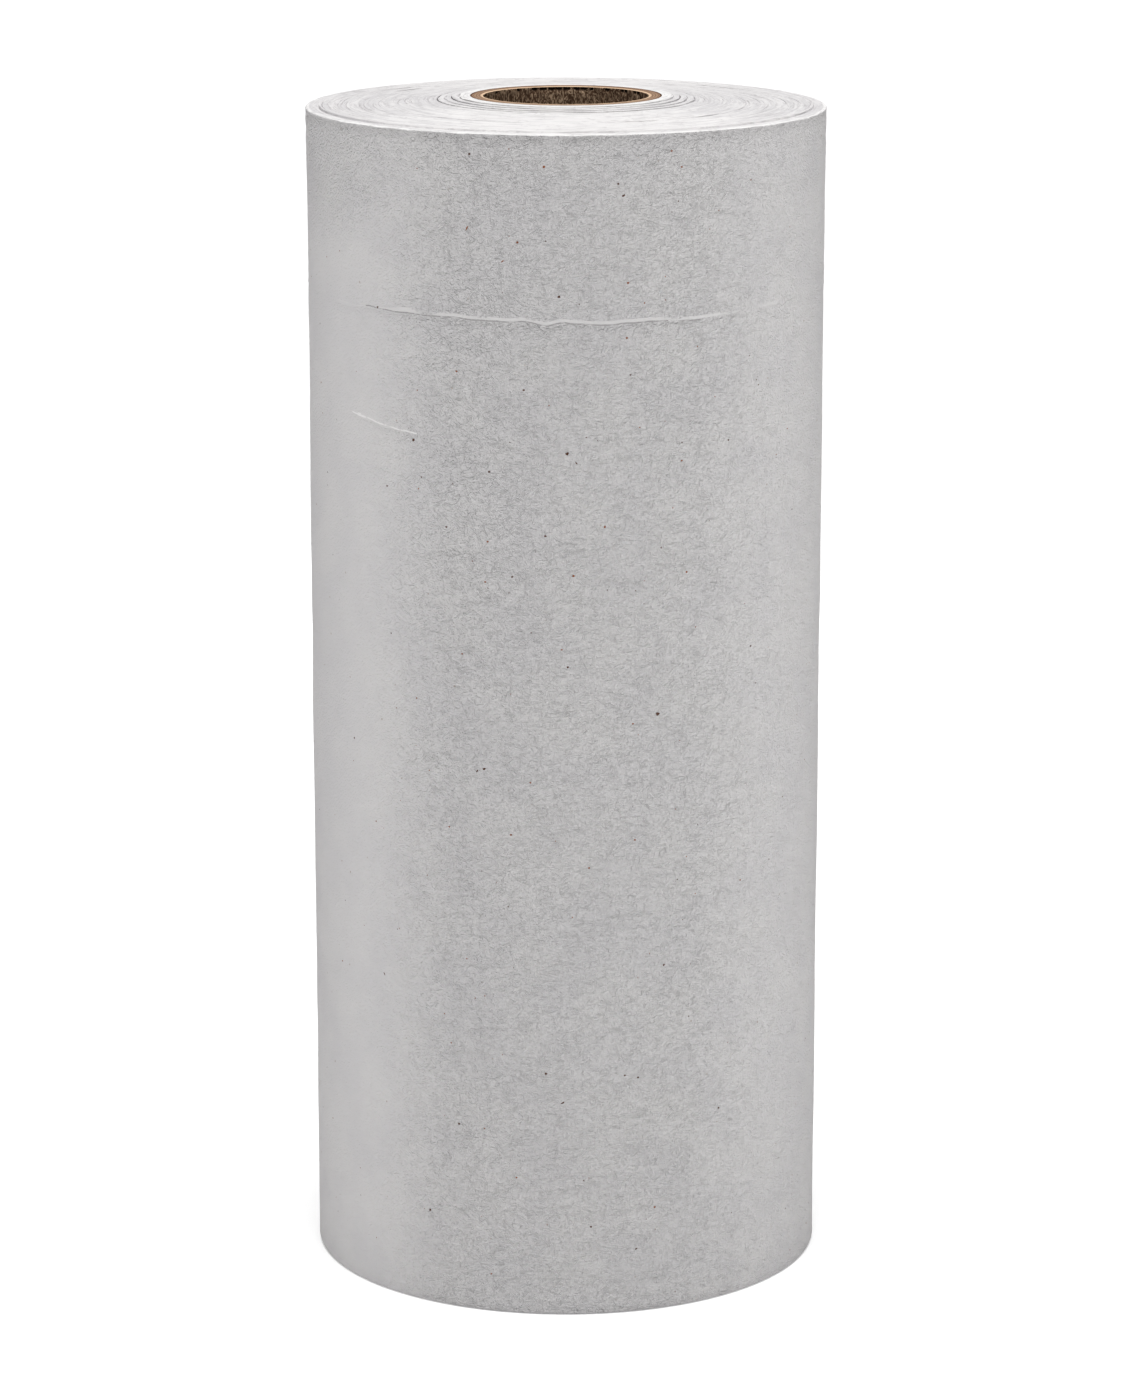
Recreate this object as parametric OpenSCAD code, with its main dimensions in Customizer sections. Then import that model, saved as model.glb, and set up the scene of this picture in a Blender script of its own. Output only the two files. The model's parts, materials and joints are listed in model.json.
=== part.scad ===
// Roll of marker paper on a cardboard core, standing on its end.
// Sizes are in millimetres. The origin is on the core's axis, at the level that the roll stands on.

/* [Paper] */
// Width of the paper web, which is the length of every turn along the core
web_w = 546; // [300:1:1600]
// Outside diameter of the wound paper
roll_d = 240; // [210:1:600]

/* [Core] */
// Bore of the cardboard core
bore_d = 76.2; // [50:0.1:101.6]
// Wall of the cardboard core
core_wall = 6; // [3:0.5:12]
// Chamfer that the saw's burr leaves at each mouth of the bore
mouth_chamfer = 0.5; // [0.2:0.1:1.5]

/* [Stepped turns by the core] */
// Width of the collar of turns next to the core, which stands highest
collar_w = 5; // [3:0.5:8]
// Number of stepped bands of turns around the collar
step_count = 3; // [1:1:5]
// Width of each stepped band
step_w = 3.3; // [2:0.1:5]
// Height from each of those bands to the next
step_h = 0.45; // [0.2:0.05:1]
// Width of the gap that stands open between two of those bands
gap_w = 0.5; // [0.2:0.1:1]
// Depth of that gap
gap_depth = 1.6; // [0.5:0.1:3]

/* [Broad bands of turns] */
// Width of the outer ring of level turns, which the roll stands on
standing_w = 28; // [15:1:40]
// Height that the turns inside that ring climb towards the stepped bands
slope_rise = 2.2; // [0.5:0.1:5]
// Mean width of a band of turns that has slipped as one
band_w = 3.8; // [2:0.1:6]
// Farthest that such a band has slipped along the core
band_slip = 0.3; // [0.2:0.05:0.8]

/* [Outer edges] */
// Radius of the worn shoulder around the top of the outer turns
shoulder_r = 1.2; // [0.5:0.1:4]
// Radius of the pressed edge around the foot of the outer turns
foot_r = 1.5; // [0.5:0.1:2.5]

/* [Free edge of the last turn] */
// Height of the free edge above the turn below it, with its curl
tail_lift = 0.4; // [0.1:0.1:1]
// Direction of the free edge from the core's axis, in degrees from +X
tail_angle = 118; // [0:1:359]

/* [Hidden] */
$fn = 48;
// Turn from one band to the next that keeps a wave of widths or heights from repeating
uneven = 137.5;
// Share of its width that the edge of a broad band strays
edge_stray = 0.3;
// Least share of band_slip that a slipped band has moved
least_slip = 0.4;
// Overlap that carries a cut clear through the surface that it opens
cut_clear = 1;

roll_r = roll_d / 2;
bore_r = bore_d / 2;
// The web is wound tight on the core, so the paper starts at the core's own outside
core_r = bore_r + core_wall;
collar_r = core_r + collar_w;
stepped_r = collar_r + step_count * step_w;
standing_r = roll_r - standing_w;
band_count = round((roll_r - shoulder_r - stepped_r) / band_w);
// The collar and the core stand this far above the turns that carry the roll
core_lift = slope_rise + (step_count + 1) * step_h;

// Outer radius of stepped band k, where band 0 is the collar
function step_edge(k) = collar_r + k * step_w;

// Outer radius of broad band i, counted outwards. The last band ends at the roll's own outside.
function band_edge(i) =
    i == 0 ? stepped_r
    : i == band_count ? roll_r
    : stepped_r + (roll_r - shoulder_r - stepped_r) * (i + edge_stray * sin(i * uneven)) / band_count;

// Height of the evenly sloping face at radius r above the level of the standing turns
function slope_at(r) = slope_rise * max(0, standing_r - r) / (standing_r - stepped_r);

// Distance that broad band i has slipped. Every second band, with the outermost one, hasn't moved.
function slip_of(i) =
    (band_count - i) % 2 == 0 ? 0
    : band_slip * (least_slip + (1 - least_slip) * abs(sin(i * uneven)));

// Each band of turns as its inner radius, its outer radius and its lift along the core
stepped_bands = [
    for (k = [0:step_count])
        [k == 0 ? core_r : step_edge(k - 1), step_edge(k), core_lift - k * step_h]
];
broad_bands = [
    for (i = [1:band_count])
        [band_edge(i - 1), band_edge(i), slope_at(band_edge(i - 1)) + slip_of(i)]
];
bands = concat(stepped_bands, broad_bands);

// Line of the bottom end from the core outwards, which the top end repeats one web width higher
end_line = [for (band = bands) each [[band[0], band[2]], [band[1], band[2]]]];

// What rounding a corner of radius r takes away, with the corner pointing to +X and +Y
module corner_waste(r) {
    translate([-r, -r])
        difference() {
            square(r + cut_clear);
            circle(r);
        }
}

// Gaps between the stepped bands, seen in section and open at the top end
module band_gaps() {
    for (k = [0:step_count])
        translate([step_edge(k), web_w + core_lift - (k + 1) * step_h - gap_depth])
            square([gap_w, gap_depth + step_h + cut_clear]);
}

// Half section of the wound paper, beside the core's axis
module paper_section() {
    difference() {
        polygon(concat(
            end_line,
            [for (j = [len(end_line) - 1:-1:0]) end_line[j] + [0, web_w]]
        ));
        translate([roll_r, web_w])
            corner_waste(shoulder_r);
        translate([roll_r, 0])
            mirror([0, 1])
                corner_waste(foot_r);
        band_gaps();
    }
}

// Wedge in front of the free edge, where the turn below comes up to the outside
module free_edge_wedge() {
    reach = sqrt(roll_r * roll_r - (roll_r - tail_lift) * (roll_r - tail_lift));
    rotate([0, 0, tail_angle])
        translate([roll_r - tail_lift, 0, -cut_clear])
            cube([tail_lift + cut_clear, reach + cut_clear, web_w + 2 * cut_clear]);
}

// The web with all its turns, as one solid
module paper_roll() {
    color("whitesmoke")
        difference() {
            rotate_extrude()
                paper_section();
            free_edge_wedge();
        }
}

// Chamfer at a mouth of the bore, opening towards +Z
module mouth_cut() {
    translate([0, 0, -mouth_chamfer])
        cylinder(
            h = mouth_chamfer + cut_clear,
            r1 = bore_r,
            r2 = bore_r + mouth_chamfer + cut_clear
        );
}

// Cardboard tube as long as the web is wide, lifted with the collar that holds it
module core_tube() {
    color("burlywood")
        translate([0, 0, core_lift])
            difference() {
                cylinder(h = web_w, r = core_r);
                translate([0, 0, -cut_clear])
                    cylinder(h = web_w + 2 * cut_clear, r = bore_r);
                translate([0, 0, web_w])
                    mouth_cut();
                mirror([0, 0, 1])
                    mouth_cut();
            }
}

core_tube();
paper_roll();
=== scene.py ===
"""Looks of the marker paper roll: its wound paper, its cardboard core and the studio round them.

Shapes are worked out in millimetres and turned into metres as each mesh is made. A direction round the
roll is an angle from its front, which faces -Y, growing to the right as the camera sees it.
"""
import json
import math

import bpy
import numpy as np
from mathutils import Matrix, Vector


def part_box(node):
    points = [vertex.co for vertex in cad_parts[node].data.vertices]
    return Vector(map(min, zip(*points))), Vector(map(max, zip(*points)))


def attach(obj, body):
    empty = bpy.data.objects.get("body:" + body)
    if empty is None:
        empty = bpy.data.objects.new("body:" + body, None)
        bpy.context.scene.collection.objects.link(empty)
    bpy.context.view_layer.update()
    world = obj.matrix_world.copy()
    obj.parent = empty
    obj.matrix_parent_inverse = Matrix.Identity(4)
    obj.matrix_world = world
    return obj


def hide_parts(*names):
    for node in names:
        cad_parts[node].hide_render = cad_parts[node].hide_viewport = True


MM = 0.001
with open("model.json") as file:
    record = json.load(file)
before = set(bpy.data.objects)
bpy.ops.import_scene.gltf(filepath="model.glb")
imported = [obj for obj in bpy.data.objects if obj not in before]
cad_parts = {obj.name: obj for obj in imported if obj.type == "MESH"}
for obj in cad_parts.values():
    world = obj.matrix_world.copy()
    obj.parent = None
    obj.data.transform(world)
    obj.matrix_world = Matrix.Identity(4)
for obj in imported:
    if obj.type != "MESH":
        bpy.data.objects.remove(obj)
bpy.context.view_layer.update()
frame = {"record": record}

# Sizes that the solids already have, in millimetres
roll_low, roll_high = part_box("paper_roll")
core_low, core_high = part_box("core_tube")
ROLL_R = roll_high.x / MM
CORE_R = core_high.x / MM
CORE_LIFT = core_low.z / MM
WEB_W = (core_high.z - core_low.z) / MM
BORE_R = next(m for m in frame["record"]["mounts"] if m["name"] == "core_bore")["dims"]["r_mm"]

# Turns at the ends of the paper, as in the solid
COLLAR_W = 5.0
STEP_COUNT = 3
STEP_W = 3.3
STEP_H = 0.45
GAP_W = 0.5
GAP_DEPTH = 1.6
STANDING_W = 28.0
SLOPE_RISE = 2.2
BAND_W = 3.8
BAND_SLIP = 0.3
SHOULDER_R = 1.2
FOOT_R = 1.5
TAIL_LIFT = 0.4
TAIL_ANGLE = 118.0
UNEVEN = math.radians(137.5)
EDGE_STRAY = 0.3
LEAST_SLIP = 0.4

STEPPED_R = CORE_R + COLLAR_W + STEP_COUNT * STEP_W
STANDING_R = ROLL_R - STANDING_W
BAND_COUNT = round((ROLL_R - SHOULDER_R - STEPPED_R) / BAND_W)


def band_edge(i):
    """Outer radius of broad band i, counted outwards."""
    if i == 0:
        return STEPPED_R
    if i == BAND_COUNT:
        return ROLL_R
    share = (i + EDGE_STRAY * math.sin(i * UNEVEN)) / BAND_COUNT
    return STEPPED_R + (ROLL_R - SHOULDER_R - STEPPED_R) * share


def slip_at(i):
    """How far broad band i has slipped along the roll, past its neighbours."""
    if (BAND_COUNT - i) % 2 == 0:
        return 0.0
    return BAND_SLIP * (LEAST_SLIP + (1 - LEAST_SLIP) * abs(math.sin(i * UNEVEN)))


def band_lift(i):
    """Height of broad band i above the turns that the roll stands on."""
    slope = SLOPE_RISE * max(0.0, STANDING_R - band_edge(i - 1)) / (STANDING_R - STEPPED_R)
    return slope + slip_at(i)


def stepped_edge(k):
    """Outer radius of stepped band k, where band 0 is the collar."""
    return CORE_R + COLLAR_W + k * STEP_W


STEPPED_BANDS = [
    (CORE_R if k == 0 else stepped_edge(k - 1), stepped_edge(k), CORE_LIFT - k * STEP_H)
    for k in range(STEP_COUNT + 1)
]
BROAD_BANDS = [(band_edge(i - 1), band_edge(i), band_lift(i)) for i in range(1, BAND_COUNT + 1)]


def place_mesh(name, rows, sharp_deg=40.0):
    """Closed mesh through rows of points in millimetres, where each row goes once round the axis."""
    row_count, col_count = rows.shape[:2]
    index = np.arange(row_count * col_count).reshape(row_count, col_count)
    below = np.roll(index, -1, axis=0)
    corners = [index, below, np.roll(below, -1, axis=1), np.roll(index, -1, axis=1)]
    faces = np.stack(corners, axis=-1).reshape(-1, 4)
    mesh = bpy.data.meshes.new(name)
    mesh.from_pydata((rows.reshape(-1, 3) * MM).tolist(), [], faces.tolist())
    mesh.shade_smooth()
    mesh.set_sharp_from_angle(angle=math.radians(sharp_deg))
    mesh.validate()
    piece = bpy.data.objects.new(name, mesh)
    bpy.context.scene.collection.objects.link(piece)
    return piece


def to_points(angle, radius, height):
    """Points at angles from the front, radii and heights, as an array of places."""
    angle, radius, height = np.broadcast_arrays(angle, radius, height)
    return np.stack([radius * np.sin(angle), -radius * np.cos(angle), height], axis=-1)


def ripples(seed, angle, height, wavelength, count=24):
    """Soft random relief of about that wavelength on the roll's side, with a spread of about 1."""
    rng = np.random.default_rng(seed)
    total = 0.0
    for _ in range(count):
        heading = rng.uniform(0, 2 * math.pi)
        wave = 2 * math.pi / (wavelength * rng.uniform(0.7, 1.4))
        turns = round(wave * ROLL_R * math.cos(heading))
        phase = rng.uniform(0, 2 * math.pi)
        total = total + np.sin(turns * angle + wave * math.sin(heading) * height + phase)
    return total * math.sqrt(2 / count)


# Mean square of one of the waves round a ring
WAVE_POWER = 0.27


def round_waves(seed, angle, slowest, fastest):
    """Random waviness round a ring, between two numbers of waves a turn, with a spread of about 1."""
    rng = np.random.default_rng(seed)
    total = 0.0
    for turns in range(slowest, fastest + 1):
        total = total + rng.uniform(0.4, 1.0) * np.sin(turns * angle + rng.uniform(0, 2 * math.pi))
    return total / math.sqrt(WAVE_POWER * (fastest - slowest + 1))


def smooth(x):
    """Eased step from 0 to 1 as x goes from 0 to 1."""
    x = np.clip(x, 0.0, 1.0)
    return x * x * (3 - 2 * x)


# The wound paper

COLUMNS = 340
# Angle in degrees between the close pair of columns at the free edge of the last turn
TAIL_PAIR = 0.02
# Angle in radians past the free edge at which its step has died out
TAIL_REACH = 1.0
# Distance that keeps the edges of neighbouring bands apart
EDGE_GAP = 0.06
# Share of its slip that a broad band shows at the front, where the turns are pressed flat
SLIP_SHOWN = 0.35
# The outermost ring of turns lies this far below the web's own end
RIM_FALL = 0.45
SHOULDER_ROWS = 4
FOOT_ROWS = 3
NICK_COUNT = 60
# How far the collar and the stepped turns sway up and down round the roll, and how far their edges stray
SWAY = 0.05
RAGGED = 0.2
# How far the edges of the broad bands stray
BAND_STRAY = 0.2
# The outside starts this far inside the solid's, so that bulges and creases stay within it
SIDE_INSET = 0.45

# Main crease round the roll, as degrees from the front and heights
CREASE_PATH = [
    (-180, 463.0), (-110, 464.0), (-69, 466.0), (-61, 463.9), (-55, 463.4), (-47, 464.7), (-41, 463.9),
    (-24, 463.6), (-13, 462.8), (-9, 463.5), (-4.4, 461.4), (-0.6, 463.0), (7, 461.6), (18, 462.8),
    (28, 461.9), (35, 462.7), (47, 463.8), (52, 464.1), (55, 466.6), (61, 465.5), (72, 464.5),
    (115, 463.5), (180, 463.0),
]
# How strong the main crease is, as degrees from the front and shares
CREASE_STRENGTH = [
    (-180, 0.4), (-72, 0.3), (-60, 0.35), (-50, 0.5), (-38, 0.75), (-10, 0.85), (10, 0.8), (20, 0.5),
    (30, 0.55), (40, 0.4), (55, 0.4), (66, 0.25), (100, 0.3), (180, 0.4),
]
# Short crease on the left, fading towards the front
SHORT_PATH = [
    (-180, 414.7), (-56, 414.7), (-50, 413.2), (-41, 410.5), (-36, 409.4), (-26, 407.1), (-20, 404.2),
    (180, 404.2),
]
# How strong the short crease is, as degrees from the front and shares
SHORT_STRENGTH = [
    (-180, 0.0), (-61, 0.0), (-56, 0.1), (-54, 0.3), (-52, 1.0), (-47, 1.0), (-42, 0.8), (-36, 0.6),
    (-26, 0.2), (-10, 0.0), (180, 0.0),
]
# The short crease is this many times as narrow as the main one, and its crevice is only this deep
SHORT_NARROWER = 1.6
SHORT_CREVICE = 0.05
# Soft dents near the rim, as degrees from the front, height, half length and half width in millimetres,
# lean in degrees and depth
DENTS = [
    (-50, 534.3, 26, 1.5, 2, 0.34), (-49, 529.5, 13, 3.5, -12, 0.30), (-15, 531.3, 15, 1.3, -3, 0.24),
    (-24, 532.6, 4, 1.0, 50, 0.14), (-22, 507.0, 6, 1.5, 35, 0.14), (-28, 510.0, 4, 1.1, 110, 0.12),
    (-13, 491.5, 6, 1.3, 38, 0.13), (-38, 487.0, 9, 1.6, -20, 0.20), (-10, 495.0, 5, 1.2, 25, 0.10),
    (30, 529.5, 7, 1.3, 40, 0.12), (35, 515.0, 6, 1.4, -35, 0.10), (23, 499.5, 8, 1.5, 15, 0.12),
    (30, 488.0, 7, 1.4, -20, 0.10), (4, 513.0, 12, 1.6, 12, 0.12), (15.7, 510.7, 5, 1.3, -30, 0.12),
    (-34, 500.0, 12, 2.2, -25, 0.24), (5, 482.0, 14, 2.0, 8, 0.10), (-9, 225.7, 8, 1.0, -45, 0.16),
    (24.3, 209.4, 5, 0.9, -25, 0.16), (17.5, 432.0, 5, 0.9, -30, 0.14), (-26, 446.0, 9, 1.4, -28, 0.10),
]
# Section of a crease, as distances above it and how far out the paper stands there: it sinks a little,
# comes out over a narrow ledge to a lip, falls into a crevice under the lip, and levels out below
CREASE_SECTION = [
    (9.0, 0.0), (6.5, -0.01), (4.2, -0.02), (2.9, -0.01), (2.1, 0.02), (1.5, 0.07), (0.9, 0.15),
    (0.3, 0.25), (0.05, 0.25), (-0.55, -0.31), (-1.1, -0.31), (-2.5, -0.22), (-4.8, -0.1), (-7.8, 0.0),
]


def column_angles():
    """Angles of the columns: an even spread, and a close pair at the free edge of the last turn."""
    even = np.linspace(-math.pi, math.pi, COLUMNS, endpoint=False)
    tail = math.radians(TAIL_ANGLE) + math.pi / 2
    tail = (tail + math.pi) % (2 * math.pi) - math.pi
    return np.sort(np.append(even, [tail, tail + math.radians(TAIL_PAIR)])), tail


def tail_drop(angle, tail):
    """Depth of the outside below the free edge's level, which is greatest just past the edge."""
    past = np.mod(angle - tail, 2 * math.pi)
    past = np.where(past < 0.5 * math.radians(TAIL_PAIR), TAIL_REACH, past)
    chord = (ROLL_R - TAIL_LIFT) / np.cos(np.minimum(past, TAIL_REACH))
    return np.maximum(0.0, ROLL_R - chord)


def collar_rows(angle):
    """Rows over the collar and the stepped turns beside the core, with a gap beyond each of them."""
    rows = []
    for k, (inner, outer, lift) in enumerate(STEPPED_BANDS):
        sway = SWAY * round_waves(10 + k, angle, 1, 5) * (0.4 if k == 0 else 1.0)
        ragged = RAGGED * round_waves(60 + k, angle, 5, 30)
        starts = inner + EDGE_GAP + (GAP_W if k > 0 else 0.0)
        for share in (0.0, 0.5, 1.0):
            radius = starts + (outer - EDGE_GAP - starts) * share
            rows.append(to_points(angle, radius + ragged * share, WEB_W + lift + sway - 0.08 * share))
        depth = GAP_DEPTH * np.clip(0.6 + 0.3 * round_waves(100 + k, angle, 1, 4), 0.1, 1.0)
        floor = WEB_W + lift - STEP_H - depth
        rows.append(to_points(angle, outer + 0.12 + ragged, floor))
        rows.append(to_points(angle, outer + GAP_W - 0.08 + 0.5 * ragged, floor))
    return rows


def broad_rows(angle):
    """Rows over the broad bands, where narrow clefts between the turns open and close round the roll."""
    rows = []
    rng = np.random.default_rng(77)
    unpressed = 1 - 0.75 * smooth((np.cos(angle) - 0.35) / 0.4)
    shown_slip = SLIP_SHOWN + (1 - SLIP_SHOWN) * smooth(-np.cos(angle) / 0.6)
    for i, (inner, outer, lift) in enumerate(BROAD_BANDS):
        rim = i == BAND_COUNT - 1
        beside_rim = i == BAND_COUNT - 2
        slope = lift - slip_at(i + 1)
        shown = 1.0 if beside_rim else shown_slip
        height = WEB_W + slope + shown * slip_at(i + 1) + 0.02 * round_waves(200 + i, angle, 1, 4)
        if rim:
            height = np.full_like(angle, WEB_W - RIM_FALL)
        outer = min(outer, ROLL_R - SHOULDER_R)
        share = rng.uniform(0.42, 0.58)
        # Each cleft's radius, width and depth: one before the band and one inside it
        clefts = [(inner, 0.6, 0.55), (inner + (outer - inner) * share, 0.45, 0.3)]
        for n, (middle, width, depth) in enumerate(clefts):
            beside_gap = i == 0 and n == 0
            wander = BAND_STRAY * round_waves(300 + 5 * i + n, angle, 2, 16)
            opened = np.clip(0.5 + 0.4 * round_waves(500 + 5 * i + n, angle, 2, 12), 0.05, 1.0)
            opened = opened * unpressed
            if rim and n == 1:
                opened = 0.2 * opened
            if beside_gap:
                middle += GAP_W + EDGE_GAP + 0.5 * width
            if beside_gap or rim:
                wander = 0.3 * wander
            before = rows[-1][:, 2] if rim and n == 0 else height
            rows.append(to_points(angle, middle + wander - 0.5 * width, before))
            rows.append(to_points(angle, middle + wander, height - 0.02 - depth * opened))
            rows.append(to_points(angle, middle + wander + 0.5 * width, height))
    rows.append(to_points(angle, ROLL_R - SHOULDER_R - 0.4, WEB_W - RIM_FALL))
    return rows


def top_rows(angle):
    """Rows over the upper end, from the core outwards to the start of the shoulder."""
    top = WEB_W + STEPPED_BANDS[0][2]
    rows = collar_rows(angle) + broad_rows(angle)
    return [np.column_stack([row[:, 0], row[:, 1], np.minimum(row[:, 2], top)]) for row in rows]


def nicks(angle):
    """Small dents and frayed spots along the rim."""
    rng = np.random.default_rng(5)
    depth = np.zeros_like(angle)
    for _ in range(NICK_COUNT):
        middle = rng.uniform(-math.pi, math.pi)
        width = math.radians(rng.uniform(0.6, 1.6))
        apart = np.mod(angle - middle + math.pi, 2 * math.pi) - math.pi
        depth += rng.uniform(0.03, 0.3) * np.exp(-((apart / width) ** 2))
    return depth


def side_heights():
    """Heights of the side's rows, close together beside the creases."""
    main = CREASE_PATH[0][1]
    short = SHORT_PATH[-1][1]
    heights = [middle + above for middle in (main, short) for above, _ in CREASE_SECTION]
    heights += [WEB_W - SHOULDER_R - d for d in (0.4, 1.0, 1.8, 2.8)]
    heights += list(np.linspace(WEB_W - SHOULDER_R - 4.2, main + 11.5, 36))
    heights += list(np.linspace(main - 9.5, short + 12, 10))
    heights += list(np.linspace(short - 10, FOOT_R + 2.5, 46))
    return np.array(sorted(heights, reverse=True))


def path_height(path, angle):
    """Height of a crease's path at each angle, with a slight waver."""
    degrees, heights = zip(*path)
    return np.interp(np.degrees(angle), degrees, heights) + 0.08 * round_waves(23, angle, 25, 80)


def fold(gap):
    """How far out the paper stands at that distance above a crease."""
    above, out = zip(*reversed(CREASE_SECTION))
    return np.interp(gap, above, out)


def side_relief(angle, height, crease_gap, short_gap):
    """How far the side bulges out or in, from its creases, wrinkles and soft unevenness."""
    out = 0.10 * ripples(1, angle, height, 90) + 0.036 * ripples(2, angle, height, 34)
    near_top = smooth((height - 420) / 90)
    patch = smooth(0.5 + 0.9 * ripples(3, angle, height, 70))
    out = out + (0.012 + 0.07 * near_top * patch) * ripples(4, angle, height * 1.9, 15)
    degrees = np.degrees(angle)
    uneven = 1 + 0.12 * round_waves(21, angle, 2, 9) + 0.1 * round_waves(22, angle, 20, 70)
    strength = np.clip(np.interp(degrees, *zip(*CREASE_STRENGTH)) * uneven, 0.1, 1.1)
    out = out + strength * fold(crease_gap)
    ridge = np.maximum(fold(SHORT_NARROWER * short_gap), -SHORT_CREVICE)
    out = out + np.interp(degrees, *zip(*SHORT_STRENGTH)) * ridge
    for middle, level, half_long, half_wide, lean, depth in DENTS:
        right = (degrees - middle) * math.radians(ROLL_R)
        up = height - level
        along = (right * math.cos(math.radians(lean)) + up * math.sin(math.radians(lean))) / half_long
        across = (up * math.cos(math.radians(lean)) - right * math.sin(math.radians(lean))) / half_wide
        out = out - depth * np.exp(-(along ** 4) - across ** 2)
    return out


def moved_height(height, angle):
    """Height of a row of the side, shifted near a crease so that the row follows it."""
    main, short = CREASE_PATH[0][1], SHORT_PATH[-1][1]
    near_main = math.exp(-(((height - main) / 22) ** 2))
    near_short = math.exp(-(((height - short) / 22) ** 2))
    crease = path_height(CREASE_PATH, angle)
    return height + near_main * (crease - main) + near_short * (path_height(SHORT_PATH, angle) - short)


def surface_radius(angle, height):
    """Radius of the outermost turn at those angles and heights, before the step at its free edge."""
    crease_gap = height - path_height(CREASE_PATH, angle)
    short_gap = height - path_height(SHORT_PATH, angle)
    edge_hold = smooth((height - FOOT_R) / 12) * smooth((WEB_W - SHOULDER_R - height) / 5)
    flare = (SIDE_INSET - 0.05) * np.exp(-np.maximum(WEB_W - SHOULDER_R - height, 0.0) / 2.5)
    out = edge_hold * side_relief(angle, height, crease_gap, short_gap)
    return np.minimum(ROLL_R - SIDE_INSET + flare + out, ROLL_R)


def build_paper():
    """The web with all its turns, as one closed mesh."""
    angle, tail = column_angles()
    drop = tail_drop(angle, tail)
    rows = top_rows(angle)
    rim = nicks(angle)
    for step in range(SHOULDER_ROWS):
        turn = math.radians(90) * (step + 0.5) / SHOULDER_ROWS
        radius = ROLL_R - SHOULDER_R + (SHOULDER_R - 0.05) * math.sin(turn)
        height = WEB_W - RIM_FALL - (SHOULDER_R - RIM_FALL) * (1 - math.cos(turn))
        share = math.sin(turn * 2)
        radius = radius - drop * math.sin(turn) - 0.5 * rim * share
        rows.append(to_points(angle, radius, height - rim * share))
    for height in side_heights():
        moved = moved_height(height, angle)
        rows.append(to_points(angle, surface_radius(angle, moved) - drop, moved))
    for step in range(FOOT_ROWS):
        turn = math.radians(90) * step / (FOOT_ROWS - 1)
        radius = ROLL_R - SIDE_INSET - FOOT_R * (1 - math.cos(turn))
        height = FOOT_R * (1 - math.sin(turn))
        rows.append(to_points(angle, radius - drop * math.cos(turn), height))
    for inner, outer, lift in reversed(STEPPED_BANDS + BROAD_BANDS):
        outer = min(outer, ROLL_R - SIDE_INSET - FOOT_R - EDGE_GAP)
        rows.append(to_points(angle, outer - EDGE_GAP, lift))
        rows.append(to_points(angle, max(inner + EDGE_GAP, CORE_R), lift))
    return place_mesh("wound_paper", np.array(rows))


# Flecks in the paper, as degrees from the front, height, length, width, and the length's lean in degrees
DARK_FLECKS = [
    (-34.8, 406.6, 1.7, 1.4, 40), (0.2, 404.2, 1.7, 1.4, 20), (-16.6, 395.2, 1.3, 0.9, 0),
    (-42.3, 383.9, 1.2, 0.9, 0), (-26.6, 368.7, 1.2, 1.0, 0), (37.5, 406.0, 1.0, 0.8, 0),
    (-1.5, 474.3, 1.5, 1.1, 10), (-11.6, 348.0, 1.2, 0.9, 30), (44.6, 309.3, 1.2, 0.9, 0),
    (20.2, 284.0, 1.7, 1.4, 10), (-18.0, 258.8, 1.6, 1.0, 20), (-19.6, 257.6, 1.3, 0.7, 60),
    (-54.5, 262.4, 1.0, 0.8, 0), (-4.4, 116.6, 1.4, 1.2, 0), (-0.7, 102.8, 1.8, 0.7, 30),
    (-24.3, 89.2, 1.2, 1.0, 0), (-31.8, 44.9, 1.4, 1.1, 80), (21.9, 166.0, 1.4, 1.0, 60),
    (-44.6, 154.0, 1.8, 0.7, 125), (36.2, 92.8, 1.2, 0.9, 0), (5.5, 42.8, 1.0, 0.8, 0),
    (15.7, 30.7, 1.2, 0.8, 30), (12.2, 518.4, 1.8, 1.3, 20), (11.0, 523.8, 1.2, 0.9, 0),
    (-20.8, 536.2, 1.2, 1.0, 0), (-44.7, 464.5, 1.2, 0.8, 0), (-25.0, 388.5, 1.5, 0.5, 120),
    (2.2, 400.0, 1.6, 0.6, 125), (13.0, 115.0, 1.1, 0.9, 0), (16.0, 113.5, 1.0, 0.9, 0),
    (0.4, 307.2, 1.1, 1.0, 0), (-9.0, 432.5, 1.2, 0.9, 0), (-4.4, 367.0, 1.2, 0.9, 0),
]
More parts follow.
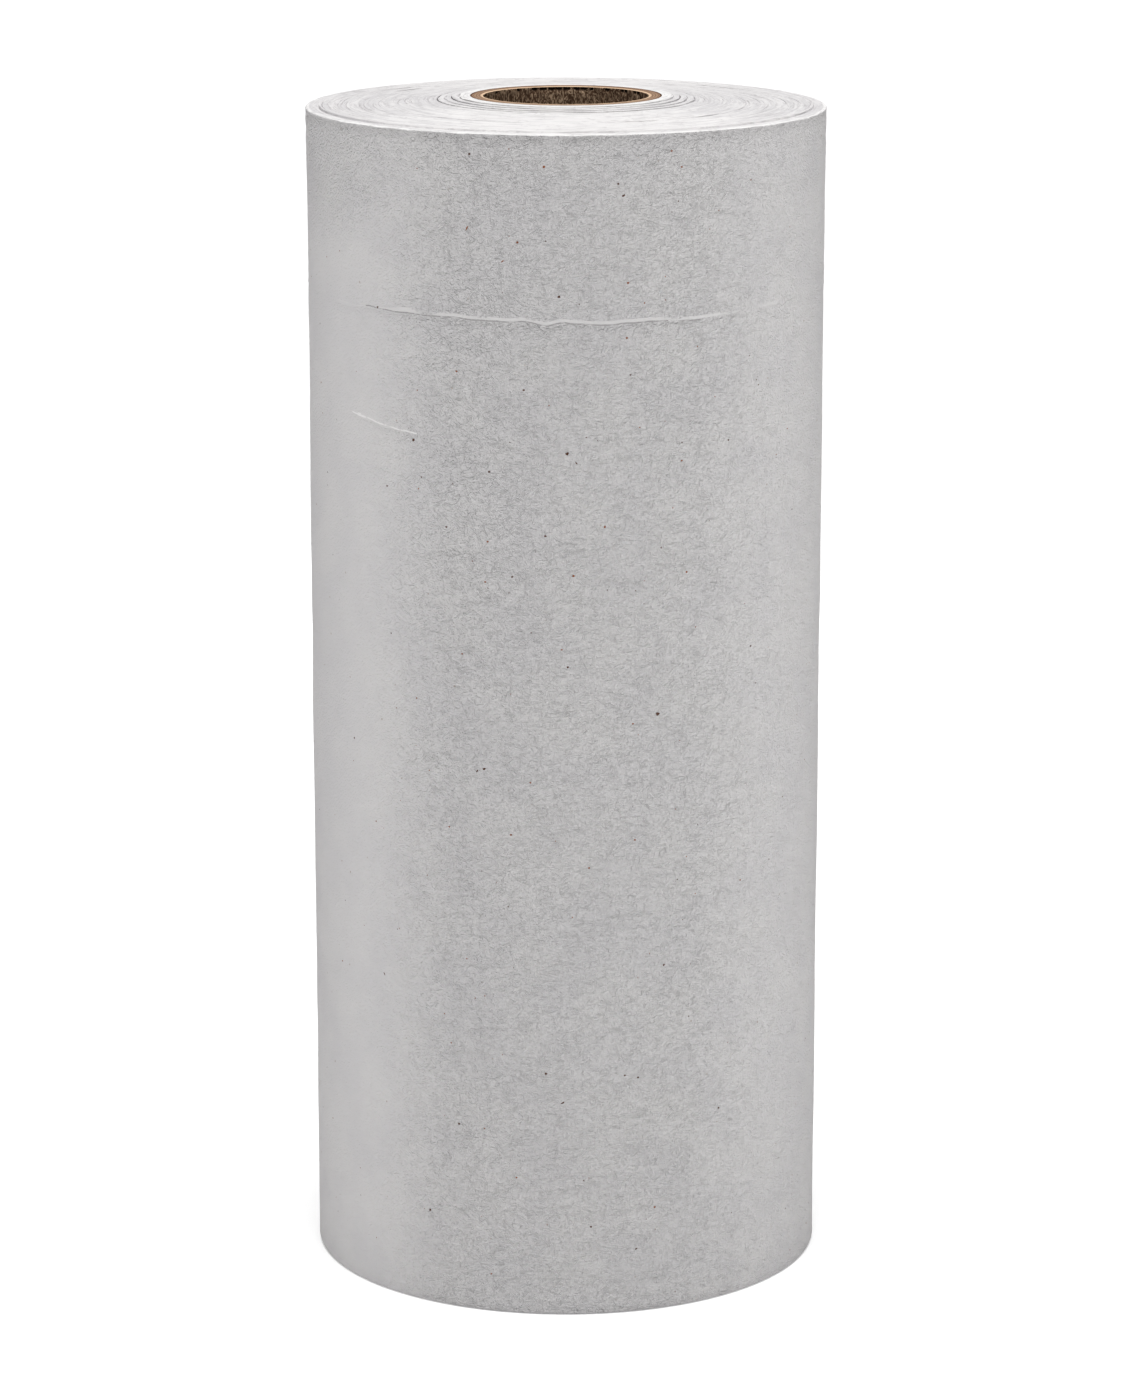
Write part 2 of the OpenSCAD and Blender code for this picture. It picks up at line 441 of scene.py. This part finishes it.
BROWN_FLECKS = [
    (26.9, 348.1, 1.2, 1.1, 0), (25.2, 530.1, 1.1, 0.9, 0), (22.8, 537.4, 1.1, 0.9, 0),
    (-4.6, 531.4, 1.3, 1.1, 0), (-10.3, 498.1, 1.1, 1.0, 0), (13.2, 480.0, 1.2, 1.0, 0),
    (-0.9, 315.2, 0.9, 0.8, 0), (-23.0, 311.2, 1.0, 0.8, 0), (14.6, 280.2, 1.0, 0.8, 0),
    (15.1, 226.2, 1.1, 0.9, 0), (-12.0, 228.9, 1.0, 0.8, 0), (-26.3, 230.1, 1.0, 0.8, 0),
    (-24.0, 439.5, 1.2, 0.9, 0), (1.6, 349.0, 1.1, 0.9, 0), (8.3, 371.0, 1.3, 0.9, 80),
    (25.6, 399.0, 1.0, 0.9, 0), (-17.0, 363.5, 1.1, 0.9, 0), (-17.6, 345.0, 1.1, 0.9, 0),
    (13.0, 455.5, 1.1, 0.9, 0), (-28.1, 509.9, 2.8, 0.6, 120), (-21.4, 503.5, 2.4, 0.6, 60),
    (-13.4, 489.8, 3.2, 0.6, 45), (-23.9, 532.0, 1.8, 0.7, 110), (42.0, 200.0, 1.0, 0.9, 0),
    (5.0, 214.0, 1.0, 0.8, 0), (-11.0, 66.0, 1.1, 0.9, 0), (20.0, 50.0, 1.0, 0.9, 0),
    (-7.7, 253.6, 0.9, 0.8, 0),
]
# How far a fleck stands out, the share of that by which it is sunk, and how much larger than listed it is
FLECK_RISE = 0.06
FLECK_SINK = 0.4
FLECK_GROWTH = 1.15
FLECK_COLUMNS = 8
FLECK_RINGS = 3


def all_round(seed, count, shown):
    """The flecks that the photograph shows, and as many more of their kind over the rest of the roll."""
    rng = np.random.default_rng(seed)
    flecks = list(shown)
    while len(flecks) < count:
        degrees = rng.uniform(-180, 180)
        height = rng.uniform(4, WEB_W - 6)
        length = rng.uniform(0.5, 1.0)
        width = length * rng.uniform(0.5, 1.0)
        if abs(degrees) > 62 or length < 0.85:
            flecks.append((degrees, height, length, width, rng.uniform(0, 180)))
    return flecks


def build_flecks(name, flecks):
    """Small flat flecks, half sunk in the side of the roll."""
    points, faces = [], []
    for degrees, height, length, width, lean in flecks:
        length, width = length * FLECK_GROWTH, width * FLECK_GROWTH
        angle = math.radians(degrees)
        middle = surface_radius(np.array([angle]), height)[0] - FLECK_SINK * FLECK_RISE
        first = len(points)
        for ring in range(FLECK_RINGS + 2):
            tilt = math.pi * ring / (FLECK_RINGS + 1) - math.pi / 2
            spread = math.cos(tilt)
            rounds = 1 if ring in (0, FLECK_RINGS + 1) else FLECK_COLUMNS
            for step in range(rounds):
                turn = 2 * math.pi * step / FLECK_COLUMNS
                rough = 1.0 + 0.22 * math.sin(3 * turn + degrees)
                along = 0.5 * length * spread * rough * math.cos(turn)
                across = 0.5 * width * spread * rough * math.sin(turn)
                right = along * math.cos(math.radians(lean)) - across * math.sin(math.radians(lean))
                up = along * math.sin(math.radians(lean)) + across * math.cos(math.radians(lean))
                place = angle + right / ROLL_R
                radius = (middle + FLECK_RISE * math.sin(tilt)) * MM
                points.append((radius * math.sin(place), -radius * math.cos(place), (height + up) * MM))
        ring_start = [first] + [first + 1 + FLECK_COLUMNS * n for n in range(FLECK_RINGS)]
        last = first + 1 + FLECK_COLUMNS * FLECK_RINGS
        for step in range(FLECK_COLUMNS):
            after = (step + 1) % FLECK_COLUMNS
            faces.append((first, ring_start[1] + after, ring_start[1] + step))
            for low, high in zip(ring_start[1:-1], ring_start[2:]):
                faces.append((low + step, low + after, high + after, high + step))
            faces.append((ring_start[-1] + step, ring_start[-1] + after, last))
    mesh = bpy.data.meshes.new(name)
    mesh.from_pydata(points, [], faces)
    mesh.shade_smooth()
    piece = bpy.data.objects.new(name, mesh)
    bpy.context.scene.collection.objects.link(piece)
    return piece


# The core

CORE_COLUMNS = 420
# Tears in the inner ply at the upper end of the bore, as degrees from the back and their half widths
BACK_TEARS = [
    (-57, 1.6), (-35, 1.6), (-22.5, 2.2), (-16, 2.6), (-10, 2.4), (-5, 2.0), (0.5, 2.4), (7.5, 2.0),
    (12.5, 2.6), (18, 1.5), (30, 1.8), (43, 1.6), (46.5, 1.3), (56, 1.4), (60, 1.8),
]
# Further tears round the side of the bore that faces the front
TEAR_COUNT = 16
# How far such a tear reaches into the wall, at the upper and the lower end
UPPER_TEAR = 1.6
LOWER_TEAR = 1.1


def tears(seed, angle, shown):
    """Places round the bore where the inner ply is torn away at its edge, from 0 to 1."""
    rng = np.random.default_rng(seed)
    torn = np.zeros_like(angle)
    places = [(math.radians(180 - degrees), math.radians(half)) for degrees, half in shown]
    for _ in range(TEAR_COUNT):
        places.append((rng.uniform(-1.9, 1.9), math.radians(rng.uniform(0.8, 2.2))))
    for middle, width in places:
        apart = np.mod(angle - middle + math.pi, 2 * math.pi) - math.pi
        torn = np.maximum(torn, rng.uniform(0.6, 1.0) * np.exp(-((apart / width) ** 4)))
    return torn


def build_core():
    """The cardboard tube, with its torn inner edges."""
    angle = np.linspace(-math.pi, math.pi, CORE_COLUMNS, endpoint=False)
    low, high = CORE_LIFT, CORE_LIFT + WEB_W
    wall = CORE_R - BORE_R
    rows = [
        to_points(angle, CORE_R, low + 0.3),
        to_points(angle, CORE_R, high - 0.3),
        to_points(angle, CORE_R - 0.3, high),
    ]
    for share in np.linspace(0.08, 0.8, 9):
        ply = 0.05 * np.sin(2 * math.pi * share * 5) + 0.03 * round_waves(40, angle, 3, 20)
        rows.append(to_points(angle, CORE_R - wall * share, high + np.minimum(ply - 0.05, 0.0)))
    frayed = 0.12 + 0.08 * round_waves(41, angle, 12, 80)
    torn = tears(31, angle, BACK_TEARS)
    rows.append(to_points(angle, BORE_R + 0.3 + np.clip(frayed, 0.0, 0.4), high - 0.02))
    rows.append(to_points(angle, BORE_R + np.clip(frayed, 0.0, 0.3), high - 0.25 - 0.1 * frayed))
    for depth, share in ((0.4, 0.9), (0.8, 1.0), (1.3, 0.9), (1.7, 0.4)):
        rows.append(to_points(angle, BORE_R + 0.05 + UPPER_TEAR * share * torn, high - depth))
    upper = np.linspace(2.6, 24, 20)
    middle = np.linspace(30, WEB_W - 30, 40)
    lower = np.linspace(WEB_W - 24, WEB_W - 2.6, 12)
    ridges = 0.12 + 0.07 * round_waves(60, angle, 20, 90)
    for depth in np.concatenate([upper, middle, lower]):
        fibre = ridges + 0.05 * round_waves(61 + int(depth), angle, 30, 110)
        rows.append(to_points(angle, BORE_R + np.clip(fibre, 0.0, 0.4), high - depth))
    torn = tears(32, angle, [])
    for depth, share in ((1.9, 0.4), (1.4, 0.9), (0.9, 1.0), (0.5, 0.9)):
        rows.append(to_points(angle, BORE_R + 0.05 + LOWER_TEAR * share * torn, low + depth))
    rows.append(to_points(angle, BORE_R + np.clip(frayed, 0.0, 0.3), low + 0.25))
    rows.append(to_points(angle, BORE_R + 0.3 + np.clip(frayed, 0.0, 0.4), low + 0.02))
    rows.append(to_points(angle, CORE_R - 0.3, low))
    # The rows start up the outside, so they are taken backwards for faces that point outwards
    return place_mesh("core_board", np.array(rows[::-1]), sharp_deg=50.0)


# Materials

class Shader:
    """A material under construction, with short ways to add and join its nodes."""

    def __init__(self, name):
        self.material = bpy.data.materials.new(name)
        self.material.use_nodes = True
        self.tree = self.material.node_tree
        self.surface = self.tree.nodes["Principled BSDF"]

    def link(self, source, target):
        """Joins an output to an input, or sets the input if the source is a plain value."""
        if isinstance(source, bpy.types.NodeSocket):
            self.tree.links.new(source, target)
        else:
            target.default_value = source

    def node(self, kind, inputs=None, **settings):
        """Adds a node of that kind, with its settings and its inputs by name or number."""
        made = self.tree.nodes.new("ShaderNode" + kind)
        for key, value in settings.items():
            setattr(made, key, value)
        for key, value in (inputs or {}).items():
            self.link(value, made.inputs[key])
        return made

    def math(self, operation, a, b=0.0):
        """Adds a Math node and returns its result."""
        return self.node("Math", {0: a, 1: b}, operation=operation).outputs[0]

    def vector_math(self, operation, a, b):
        """Adds a Vector Math node and returns its vector."""
        return self.node("VectorMath", {0: a, 1: b}, operation=operation).outputs[0]

    def flatten(self, parts):
        """Joins the X and Y of a separated place, and measures how far from the axis they are."""
        flat = self.node("CombineXYZ", {"X": parts.outputs["X"], "Y": parts.outputs["Y"]}).outputs[0]
        return flat, self.node("VectorMath", {0: flat}, operation="LENGTH").outputs["Value"]

    def ramp(self, value, low, high, start=0.0, end=1.0):
        """Maps value from the range low to high onto start to end, eased and clamped."""
        inputs = {"Value": value, "From Min": low, "From Max": high, "To Min": start, "To Max": end}
        return self.node("MapRange", inputs, interpolation_type="SMOOTHSTEP").outputs["Result"]

    def mix(self, factor, a, b):
        """Mixes two colours and returns the result."""
        made = self.node("Mix", data_type="RGBA")
        self.link(factor, made.inputs[0])
        self.link(a, made.inputs[6])
        self.link(b, made.inputs[7])
        return made.outputs[2]

    def noise(self, vector, scale, detail=2.0, roughness=0.5, distortion=0.0):
        """Adds a Noise texture and returns its value."""
        inputs = {"Vector": vector, "Scale": scale, "Detail": detail}
        inputs.update({"Roughness": roughness, "Distortion": distortion})
        return self.node("TexNoise", inputs).outputs["Fac"]

    def bump(self, height, distance, strength):
        """Adds a Bump node and returns its normal."""
        inputs = {"Height": height, "Distance": distance, "Strength": strength}
        return self.node("Bump", inputs).outputs["Normal"]


def rgb(red, green, blue):
    """A colour given as it looks on a screen, from 0 to 255, as linear values with alpha."""
    def linear(value):
        value = value / 255
        return value / 12.92 if value <= 0.04045 else ((value + 0.055) / 1.055) ** 2.4
    return (linear(red), linear(green), linear(blue), 1.0)


PAPER = rgb(211, 209, 209)
PAPER_SHADE = rgb(207, 205, 206)
# Painted shade for the band of the side just under the rim
PAPER_RIM_SHADE = rgb(188, 186, 186)
# Crease colours: the ledge above the main crease keeps the paper's own colour, the others are painted shade
# under its lip and a painted highlight on the short crease
CREASE_LEDGE = rgb(211, 209, 209)
CREASE_PAINTED_SHADE = rgb(158, 156, 156)
CREASE_PAINTED_HIGHLIGHT = rgb(229, 227, 227)
# The collar's own white, also used for a painted highlight along the rim
COLLAR_WHITE_AND_RIM_HIGHLIGHT = rgb(237, 236, 235)
# Painted light for the front and back of the end
EDGE_PAINTED_LIGHT = rgb(235, 233, 232)
EDGE_PALE = rgb(223, 221, 221)
EDGE_GREY = rgb(211, 209, 210)
# Grey of the turns' edges and of marks on them, also used as painted shade in the fine gaps between turns
EDGE_MARK_AND_CLEFT_SHADE = rgb(188, 185, 186)
FLECK_FAINT = rgb(150, 128, 110)
FLECK_DARK = rgb(80, 50, 34)
FLECK_BROWN = rgb(132, 74, 34)


def wrinkles(s, place, scale, lines, seed):
    """Curved families of fine wrinkles: the contours of soft noise, fading in and out."""
    flattened = s.vector_math("MULTIPLY", place, (1.0, 1.0, 1.35))
    moved = s.vector_math("ADD", flattened, (seed, seed * 0.7, seed * 1.3))
    soft = s.noise(moved, scale, 2.0, 0.45, 0.3)
    contour = s.math("SINE", s.math("MULTIPLY", soft, 2 * math.pi * lines))
    held = s.ramp(s.noise(moved, scale * 1.6, 1.0), 0.2, 0.5, 0.3, 1.0)
    return s.math("MULTIPLY", contour, held)


# Depth of the wrinkles in metres, and the share of it at the left, at the right and near the upper end
WRINKLE_DEPTH = 0.00017
LEFT_RELIEF = 0.23
RIGHT_RELIEF = 0.62
TOP_RELIEF = 0.65


def paper_side_material():
    """Thin, softly cockled paper with fine curly wrinkles and faint flecks."""
    s = Shader("paper_side")
    place = s.node("TexCoord").outputs["Object"]
    cloud = s.noise(place, 40.0, 2.0, 0.5)
    tone = s.mix(s.ramp(cloud, 0.3, 0.7), PAPER_SHADE, PAPER)
    parts = s.node("SeparateXYZ", {"Vector": place})
    height = parts.outputs["Z"]
    # Painted shade: the side's colour darkens over the last few millimetres under the rim
    under_rim = s.ramp(height, (WEB_W - 7.0) * MM, (WEB_W - 2.0) * MM, 0.0, 0.45)
    tone = s.mix(under_rim, tone, PAPER_RIM_SHADE)
    cells = s.node("TexVoronoi", {"Vector": place, "Scale": 120.0}, feature="F1")
    near = s.ramp(cells.outputs["Distance"], 0.04, 0.075, 1.0, 0.0)
    chosen = s.node("SeparateColor", {"Color": cells.outputs["Color"]}).outputs["Red"]
    fleck = s.math("MULTIPLY", near, s.ramp(chosen, 0.6, 1.0, 0.0, 0.6))
    s.link(s.mix(fleck, tone, FLECK_FAINT), s.surface.inputs["Base Color"])
    s.surface.inputs["Roughness"].default_value = 0.85
    relief = s.math("ADD", wrinkles(s, place, 110.0, 10.5, 0.0), wrinkles(s, place, 160.0, 9.0, 3.0))
    left = s.ramp(parts.outputs["X"], -0.045, -0.1, 1.0, LEFT_RELIEF)
    right = s.ramp(parts.outputs["X"], 0.05, 0.1, 1.0, RIGHT_RELIEF)
    near_top = s.ramp(height, 0.46, 0.52, 0.0, TOP_RELIEF)
    held = s.math("MAXIMUM", s.math("MULTIPLY", left, right), near_top)
    grain = s.math("MULTIPLY", s.noise(place, 1000.0, 1.0), 9.0)
    relief = s.math("MULTIPLY", s.math("ADD", relief, grain), held)
    s.link(s.bump(relief, WRINKLE_DEPTH, 1.0), s.surface.inputs["Normal"])
    s.surface.inputs["Specular IOR Level"].default_value = 0.25
    return s.material


def crease_material(name, colour):
    """Patches of one colour along a crease: painted shade under the main crease's lip, a painted highlight
    on the short crease's ledge, or the paper's own colour above the main crease.
    """
    s = Shader(name)
    place = s.node("TexCoord").outputs["Object"]
    tone = s.mix(s.ramp(s.noise(place, 300.0, 2.0), 0.3, 0.5), PAPER, colour)
    s.link(tone, s.surface.inputs["Base Color"])
    s.surface.inputs["Roughness"].default_value = 0.9
    s.surface.inputs["Specular IOR Level"].default_value = 0.25
    return s.material


def fleck_material(name, colour):
    """Flat matt fleck in the paper."""
    s = Shader(name)
    place = s.node("TexCoord").outputs["Object"]
    worn = s.ramp(s.noise(place, 1500.0), 0.5, 0.8, 0.0, 0.2)
    s.link(s.mix(worn, colour, PAPER_SHADE), s.surface.inputs["Base Color"])
    s.surface.inputs["Roughness"].default_value = 0.9
    return s.material


def paper_end_material():
    """Cut edges of the turns, packed side by side."""
    s = Shader("paper_turn_edges")
    place = s.node("TexCoord").outputs["Object"]
    parts = s.node("SeparateXYZ", {"Vector": place})
    flat, radius = s.flatten(parts)

    def rings(frequency, sway):
        slow = s.node("VectorMath", {0: flat, "Scale": sway}, operation="SCALE").outputs[0]
        slow = s.node("SeparateXYZ", {"Vector": slow})
        inputs = {"X": slow.outputs["X"], "Y": slow.outputs["Y"], "Z": s.math("MULTIPLY", radius, frequency)}
        around = s.node("CombineXYZ", inputs).outputs[0]
        return s.noise(around, 1.0, 3.0, 0.6)

    broad = rings(420.0, 26.0)
    fine = rings(900.0, 70.0)
    tone = s.mix(s.ramp(broad, 0.38, 0.62), EDGE_GREY, EDGE_PALE)
    # Painted light: the end is lighter towards the front and the back than at its sides, standing in for the
    # light that the turns' edges catch there
    painted_light_bearing = s.math("DIVIDE", s.math("MULTIPLY", parts.outputs["Y"], -1.0), radius)
    painted_light_bearing = s.math("ADD", painted_light_bearing, s.math("MULTIPLY", s.math("SUBTRACT", broad, 0.5), 1.2))
    tone = s.mix(s.ramp(painted_light_bearing, 0.35, 1.0, 0.0, 0.75), tone, EDGE_PAINTED_LIGHT)
    tone = s.mix(s.ramp(painted_light_bearing, -0.4, -1.0, 0.0, 0.6), tone, EDGE_PAINTED_LIGHT)
    # Painted highlight: a whiter band along the rim, where the shoulder catches the light
    rim = s.ramp(radius, (ROLL_R - 1.9) * MM, (ROLL_R - 1.2) * MM, 0.0, 0.85)
    tone = s.mix(rim, tone, COLLAR_WHITE_AND_RIM_HIGHLIGHT)
    collar = s.ramp(radius, (CORE_R + COLLAR_W - 0.6) * MM, (CORE_R + COLLAR_W + 0.6) * MM, 0.9, 0.0)
    tone = s.mix(collar, tone, COLLAR_WHITE_AND_RIM_HIGHLIGHT)
    # Fine darker rings: partly the turns' own grey edges, partly painted shade in the fine gaps between
    # turns; the marks below take the same colour
    tone = s.mix(s.ramp(fine, 0.38, 0.5, 0.5, 0.0), tone, EDGE_MARK_AND_CLEFT_SHADE)
    marks = s.noise(place, 170.0, 3.0, 0.6, 1.0)
    tone = s.mix(s.ramp(marks, 0.36, 0.46, 0.35, 0.0), tone, EDGE_MARK_AND_CLEFT_SHADE)
    s.link(tone, s.surface.inputs["Base Color"])
    s.surface.inputs["Roughness"].default_value = 0.9
    s.surface.inputs["Specular IOR Level"].default_value = 0.2
    s.link(s.bump(broad, 0.0003, 0.3), s.surface.inputs["Normal"])
    return s.material


BOARD = rgb(134, 105, 84)
BOARD_LIGHT = rgb(226, 194, 162)
BOARD_DARK = rgb(98, 64, 43)
BORE_DARK = rgb(96, 72, 54)
BORE_LIGHT = rgb(214, 184, 154)
# Painted shade for the recesses where the inner ply is torn
BORE_TEAR_SHADE = rgb(38, 27, 20)


def board_face_material():
    """Sawn end of the core, with its plies."""
    s = Shader("core_cut_plies")
    place = s.node("TexCoord").outputs["Object"]
    _, radius = s.flatten(s.node("SeparateXYZ", {"Vector": place}))
    fibres = s.noise(place, 500.0, 3.0, 0.7)
    plies = s.math("SINE", s.math("MULTIPLY", radius, 2 * math.pi / (1.3 * MM)))
    tone = s.mix(s.ramp(plies, -1.0, 1.0, 0.0, 0.35), BOARD, BOARD_LIGHT)
    tone = s.mix(s.ramp(fibres, 0.4, 0.7, 0.0, 0.35), tone, BOARD_DARK)
    tone = s.mix(s.ramp(radius, (BORE_R + 1.6) * MM, (BORE_R + 0.7) * MM), tone, BOARD_LIGHT)
    tone = s.mix(s.ramp(radius, (CORE_R - 1.2) * MM, (CORE_R - 0.5) * MM), tone, BOARD_DARK)
    s.link(tone, s.surface.inputs["Base Color"])
    s.surface.inputs["Roughness"].default_value = 0.92
    s.surface.inputs["Specular IOR Level"].default_value = 0.15
    s.link(s.bump(fibres, 0.0004, 0.6), s.surface.inputs["Normal"])
    return s.material


def bore_material():
    """Rough brown inside of the core, with pale torn fibres along it, and painted shade in the tears at its
    ends.
    """
    s = Shader("core_torn_bore")
    place = s.node("TexCoord").outputs["Object"]
    drawn_out = s.vector_math("MULTIPLY", place, (1.0, 1.0, 0.4))
    fibres = s.noise(drawn_out, 700.0, 3.0, 0.6, 2.2)
    patches = s.noise(place, 120.0, 2.0, 0.5)
    tone = s.mix(s.ramp(fibres, 0.45, 0.62), BORE_DARK, BORE_LIGHT)
    tone = s.mix(s.ramp(patches, 0.45, 0.7, 0.0, 0.5), tone, BORE_DARK)
    _, radius = s.flatten(s.node("SeparateXYZ", {"Vector": place}))
    # Painted shade: the recesses of the tears at the bore's ends are painted nearly black
    torn = s.ramp(radius, (BORE_R + 0.4) * MM, (BORE_R + 0.8) * MM)
    tone = s.mix(torn, tone, BORE_TEAR_SHADE)
    s.link(tone, s.surface.inputs["Base Color"])
    s.surface.inputs["Roughness"].default_value = 0.95
    s.surface.inputs["Specular IOR Level"].default_value = 0.1
    s.link(s.bump(fibres, 0.0008, 0.7), s.surface.inputs["Normal"])
    return s.material


def paint(piece, materials, choose):
    """Gives a piece its materials, and each face the one that choose names by its centre and normal."""
    for material in materials:
        piece.data.materials.append(material)
    count = len(piece.data.polygons)
    centre = np.zeros(count * 3)
    normal = np.zeros(count * 3)
    piece.data.polygons.foreach_get("center", centre)
    piece.data.polygons.foreach_get("normal", normal)
    picked = choose(centre.reshape(-1, 3) / MM, normal.reshape(-1, 3)).astype(np.int32)
    piece.data.polygons.foreach_set("material_index", picked)


# How far a crease strays from its level, and how steep a face beside it is that takes another colour: the
# paper's own colour above the main crease, painted shade under its lip, and a painted highlight on the short
# crease
CREASE_REACH = 13.0
LEDGE_SLOPE = 0.075
UNDER_SLOPE = 0.47
BRIGHT_SLOPE = 0.12


def on_paper(centre, normal):
    """0 on the paper's side, 1 on its ends, 2 above the main crease, 3 for painted shade under it, 4 for a
    painted highlight on the short one.
    """
    radius = np.hypot(centre[:, 0], centre[:, 1])
    top = (centre[:, 2] > WEB_W - 1.0) & (radius < ROLL_R - 0.3)
    bottom = (centre[:, 2] < CORE_LIFT + 1.0) & (radius < ROLL_R - FOOT_R - 0.5)
    outside = radius > ROLL_R - 2.0
    main = outside & (np.abs(centre[:, 2] - CREASE_PATH[0][1]) < CREASE_REACH)
    short = outside & (np.abs(centre[:, 2] - SHORT_PATH[-1][1]) < CREASE_REACH)
    ledge = main & (normal[:, 2] > LEDGE_SLOPE)
    # Faces that face down under the main crease's lip take a painted shade
    under = main & (normal[:, 2] < -UNDER_SLOPE)
    # Faces that face up on the short crease take a painted highlight
    bright = short & (normal[:, 2] > BRIGHT_SLOPE)
    return np.select([top | bottom, ledge, under, bright], [1, 2, 3, 4], 0)


def in_bore(centre, _normal):
    """1 on the inside of the core and 0 on its ends and outside."""
    radius = np.hypot(centre[:, 0], centre[:, 1])
    height = centre[:, 2] - CORE_LIFT
    return (radius < BORE_R + 2.0) & (height < WEB_W - 0.3) & (height > 0.3)


# The studio

PHOTO_W, PHOTO_H = 1132, 1390
CAMERA_DISTANCE = 2.208
CAMERA_HEIGHT = 0.787
CAMERA_PITCH = 13.27
FOCAL_PX = 4787
SENSOR = 36.0
# Brightness of the overhead light, and of the floor's own glow, which only the camera sees
OVERHEAD = 2.85
FLOOR_GLOW = 0.26
# Brightness of the surround as it lights the roll, and as the camera sees it
SURROUND_LIGHT = 0.14
SURROUND_SEEN = 1.05


def add_camera():
    """Camera in front of the roll, looking down on it as the photograph does."""
    data = bpy.data.cameras.new("camera")
    data.sensor_width = SENSOR
    data.lens = FOCAL_PX / PHOTO_H * SENSOR
    camera = bpy.data.objects.new("camera", data)
    camera.location = (0.0, -CAMERA_DISTANCE, CAMERA_HEIGHT)
    camera.rotation_euler = (math.radians(90 - CAMERA_PITCH), 0.0, 0.0)
    bpy.context.scene.collection.objects.link(camera)
    bpy.context.scene.camera = camera


def add_floor():
    """Wide pale floor, which glows a little to the camera."""
    half = 30.0
    corners = [(-half, -half, 0), (half, -half, 0), (half, half, 0), (-half, half, 0)]
    mesh = bpy.data.meshes.new("floor")
    mesh.from_pydata(corners, [], [(0, 1, 2, 3)])
    floor = bpy.data.objects.new("floor", mesh)
    s = Shader("floor")
    s.surface.inputs["Base Color"].default_value = (0.8, 0.8, 0.8, 1.0)
    s.surface.inputs["Emission Color"].default_value = (1.0, 1.0, 1.0, 1.0)
    seen = s.node("LightPath").outputs["Is Camera Ray"]
    s.link(s.math("MULTIPLY", seen, FLOOR_GLOW), s.surface.inputs["Emission Strength"])
    s.surface.inputs["Roughness"].default_value = 0.9
    s.surface.inputs["Specular IOR Level"].default_value = 0.1
    floor.data.materials.append(s.material)
    bpy.context.scene.collection.objects.link(floor)


def add_area_light(name, azimuth, distance, height, size, power):
    """Soft light at that angle from the front, facing the roll."""
    data = bpy.data.lights.new(name, "AREA")
    data.shape = "RECTANGLE"
    data.size, data.size_y = size
    data.energy = power
    light = bpy.data.objects.new(name, data)
    turn = math.radians(azimuth)
    light.location = (distance * math.sin(turn), -distance * math.cos(turn), height)
    aim = Vector((0.0, 0.0, height)) - light.location
    light.rotation_euler = aim.to_track_quat("-Z", "Y").to_euler()
    light.visible_camera = False
    bpy.context.scene.collection.objects.link(light)


def add_studio():
    """Bright light from above, softer ones on each side, in front and behind, and a pale surround."""
    sun = bpy.data.lights.new("overhead", "SUN")
    sun.energy = OVERHEAD
    sun.angle = math.radians(18)
    overhead = bpy.data.objects.new("overhead", sun)
    overhead.rotation_euler = (math.radians(3.0), 0.0, 0.0)
    bpy.context.scene.collection.objects.link(overhead)
    add_area_light("left_strip", -43, 0.45, 0.55, (0.3, 1.1), 0.69)
    add_area_light("right_strip", 52, 0.42, 0.55, (0.3, 1.1), 0.92)
    add_area_light("front_panel", -8, 3.2, 1.0, (1.5, 1.5), 8.5)
    add_area_light("back_panel", 180, 1.7, 0.7, (1.2, 1.2), 6.0)
    world = bpy.data.worlds.new("surround")
    world.use_nodes = True
    background = world.node_tree.nodes["Background"]
    background.inputs["Color"].default_value = (1.0, 1.0, 1.0, 1.0)
    seen = world.node_tree.nodes.new("ShaderNodeLightPath").outputs["Is Camera Ray"]
    strength = world.node_tree.nodes.new("ShaderNodeMapRange")
    strength.inputs["To Min"].default_value = SURROUND_LIGHT
    strength.inputs["To Max"].default_value = SURROUND_SEEN
    world.node_tree.links.new(seen, strength.inputs["Value"])
    world.node_tree.links.new(strength.outputs["Result"], background.inputs["Strength"])
    bpy.context.scene.world = world
    bpy.context.scene.view_settings.view_transform = "Standard"


add_camera()
add_floor()
add_studio()

paper = build_paper()
# Crease colours: the paper's own above the main crease, painted shade under its lip, a painted highlight
# along the short crease
creased = [
    crease_material("paper_crease_ledge", CREASE_LEDGE),
    crease_material("paper_crease_painted_shade", CREASE_PAINTED_SHADE),
    crease_material("paper_crease_painted_highlight", CREASE_PAINTED_HIGHLIGHT),
]
paint(paper, [paper_side_material(), paper_end_material()] + creased, on_paper)
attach(paper, "root")
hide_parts("paper_roll")

dark_flecks = build_flecks("dark_flecks", all_round(7, 240, DARK_FLECKS))
dark_flecks.data.materials.append(fleck_material("fleck_dark", FLECK_DARK))
brown_flecks = build_flecks("brown_flecks", all_round(8, 260, BROWN_FLECKS))
brown_flecks.data.materials.append(fleck_material("fleck_brown", FLECK_BROWN))
for flecks in (dark_flecks, brown_flecks):
    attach(flecks, "root")

core = build_core()
paint(core, [board_face_material(), bore_material()], in_bore)
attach(core, "root")
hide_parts("core_tube")
